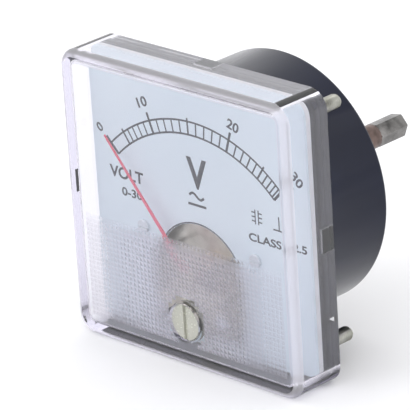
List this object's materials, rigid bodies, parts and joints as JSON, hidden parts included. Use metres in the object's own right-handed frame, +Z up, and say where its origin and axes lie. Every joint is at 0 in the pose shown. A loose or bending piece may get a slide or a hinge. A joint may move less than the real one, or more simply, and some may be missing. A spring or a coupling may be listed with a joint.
{
  "type": "analog panel voltmeter",
  "caption": "Square panel voltmeter with a clear cover, round rear barrel, moving-iron movement, red pointer, zero adjuster and rear terminals.",
  "frame": {"origin": "centre of the bezel's back face, on the axis of the round barrel, where that axis crosses the panel's front surface", "axes": "+X right and +Z up as the dial is read, +Y back through the panel; the dial faces -Y"},
  "size_m": [0.06, 0.0462, 0.06],
  "materials": {
    "clear_cover": "clear, polished",
    "clear_screw": "translucent, moulded",
    "black_moulding": "glossy moulded black",
    "white_moulding": "satin moulded white",
    "dial_paint": "matt white enamel with black print",
    "zinc_stud": "yellow-green passivated zinc",
    "nickel_screw": "nickel plated",
    "nickel": "nickel plated",
    "brass": "turned and stamped",
    "aged_brass": "browned",
    "jewel": "synthetic sapphire",
    "bobbin_nylon": "natural nylon",
    "copper_winding": "enamelled copper turns",
    "soft_iron": "bright rolled iron",
    "magnet": "ground ferrite",
    "resistor_body": "lacquered",
    "lead_insulation": "insulated wire",
    "steel": "polished",
    "pointer_red": "red lacquer",
    "light_alloy": "plain",
    "spring_bronze": "spring strip"
  },
  "bodies": {
    "case": {"base_housing": "black_moulding", "bridge_posts": "brass", "bridge_screws": "nickel_screw", "coil_bobbin": "bobbin_nylon", "coil_pins": "nickel", "coil_winding": "copper_winding", "cover_clips": "white_moulding", "damping_magnets": "magnet", "dial_frame": "white_moulding", "dial_plate": "dial_paint", "dial_posts": "brass", "dial_screws": "nickel_screw", "fixed_iron": "soft_iron", "frame_posts": "brass", "front_bridge": "brass", "front_cover": "clear_cover", "front_jewel_screw": "brass", "inner_nuts": "aged_brass", "insulating_bushes": "white_moulding", "left_lead": "lead_insulation", "magnet_yoke": "soft_iron", "mounting_studs": "zinc_stud", "movement_plate": "brass", "movement_screws": "nickel_screw", "pivot_jewels": "jewel", "pointer_stops": "nickel", "rear_bridge": "brass", "rear_bridge_screws": "nickel_screw", "rear_jewel_screw": "brass", "resistor_lead": "lead_insulation", "right_lead": "lead_insulation", "series_resistor": "resistor_body", "solder_lugs": "nickel", "terminal_collars": "aged_brass", "terminal_posts": "nickel", "terminal_studs": "nickel"},
    "zero_lever": {"zero_lever": "brass", "hairspring": "spring_bronze"},
    "movement": {"spindle": "steel", "pointer": "pointer_red", "pointer_hub": "light_alloy", "balance_weights": "brass", "spring_collet": "brass", "moving_iron": "soft_iron", "iron_bush": "light_alloy", "damping_vane": "light_alloy", "vane_bush": "brass"},
    "zero_adjuster": {"zero_adjuster": "clear_screw", "adjuster_clip": "soft_iron"}
  },
  "joints": [
    {"name": "zero_shift", "type": "hinge", "parent": "case", "child": "zero_lever", "pos_m": [0, -0.0085, -0.0136], "axis": [0, 1, 0], "range_deg": [-4, 4]},
    {"name": "adjuster_turn", "type": "hinge", "parent": "case", "child": "zero_adjuster", "pos_m": [0, -0.0112, -0.0209], "axis": [0, 1, 0], "range_deg": [-28, 28]},
    {"name": "pointer_turn", "type": "hinge", "parent": "zero_lever", "child": "movement", "pos_m": [0, 0, -0.0136], "axis": [0, 1, 0], "range_deg": [-4, 88], "stiffness_Nm_per_rad": 0.00005, "deforming": ["hairspring"]}
  ],
  "couplings": [
    {"joint": "adjuster_turn", "follows": "zero_shift", "ratio": -6.7}
  ]
}
